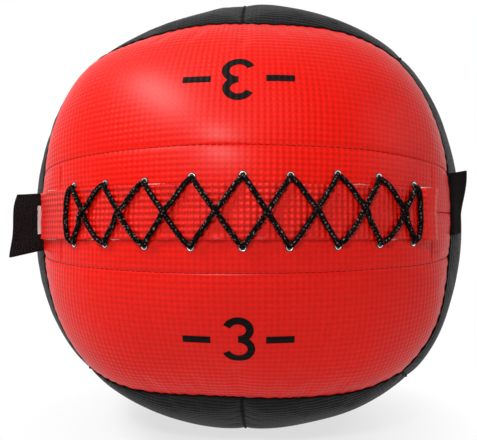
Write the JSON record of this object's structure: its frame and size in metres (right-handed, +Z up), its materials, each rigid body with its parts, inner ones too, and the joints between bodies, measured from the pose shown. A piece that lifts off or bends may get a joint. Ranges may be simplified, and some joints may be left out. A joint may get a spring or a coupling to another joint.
{
  "type": "wall ball",
  "caption": "Soft weighted training ball with a panelled cover, a laced filling slit over a cover strip, and a folded webbing tab at each side.",
  "frame": {"origin": "middle of the flat patch that the ball rests on", "axes": "+Z up, -Y out of the laced face, +X to the right as the laced face is looked at"},
  "size_m": [0.348, 0.3566, 0.3429],
  "materials": {
    "red_vinyl": "embossed synthetic leather, satin",
    "black_vinyl": "embossed synthetic leather, satin",
    "backing_fabric": "woven backing cloth",
    "nickel": "nickel-plated, polished",
    "black_braid": "round braided cord",
    "black_webbing": "woven webbing",
    "liner_cotton": "plain cotton",
    "textile_fibre": "loose textile fibre",
    "weight_bag_canvas": "sand-filled canvas"
  },
  "bodies": {
    "ball": {"front_panel_upper": "red_vinyl", "front_panel_lower": "red_vinyl", "back_panel_upper": "red_vinyl", "back_panel_lower": "red_vinyl", "top_panel_left": "black_vinyl", "top_panel_right": "black_vinyl", "bottom_panel_left": "black_vinyl", "bottom_panel_right": "black_vinyl", "left_panel_front": "black_vinyl", "left_panel_rear": "black_vinyl", "right_panel_front": "black_vinyl", "right_panel_rear": "black_vinyl", "closure_cover_strip": "red_vinyl", "upper_eyelet_facing": "backing_fabric", "lower_eyelet_facing": "backing_fabric", "eyelet_upper_1": "nickel", "eyelet_upper_2": "nickel", "eyelet_upper_3": "nickel", "eyelet_upper_4": "nickel", "eyelet_upper_5": "nickel", "eyelet_upper_6": "nickel", "eyelet_upper_7": "nickel", "eyelet_upper_8": "nickel", "eyelet_upper_9": "nickel", "eyelet_lower_1": "nickel", "eyelet_lower_2": "nickel", "eyelet_lower_3": "nickel", "eyelet_lower_4": "nickel", "eyelet_lower_5": "nickel", "eyelet_lower_6": "nickel", "eyelet_lower_7": "nickel", "eyelet_lower_8": "nickel", "eyelet_lower_9": "nickel", "lace": "black_braid", "left_tab_root": "black_webbing", "right_tab_root": "black_webbing", "liner_bag": "liner_cotton", "filling_upper": "textile_fibre", "filling_lower": "textile_fibre", "weight_bag": "weight_bag_canvas"},
    "left_tab": {"left_tab": "black_webbing"},
    "right_tab": {"right_tab": "black_webbing"}
  },
  "joints": [
    {"name": "left_tab_fold", "type": "hinge", "parent": "ball", "child": "left_tab", "pos_m": [-0.1502, -0.08795, 0.16258], "axis": [-0.0265, 0.0137, 0.9996], "range_deg": [-48, 58]},
    {"name": "right_tab_fold", "type": "hinge", "parent": "ball", "child": "right_tab", "pos_m": [0.15019, -0.08796, 0.17616], "axis": [-0.0285, -0.0148, 0.9995], "range_deg": [-136, 8]}
  ]
}
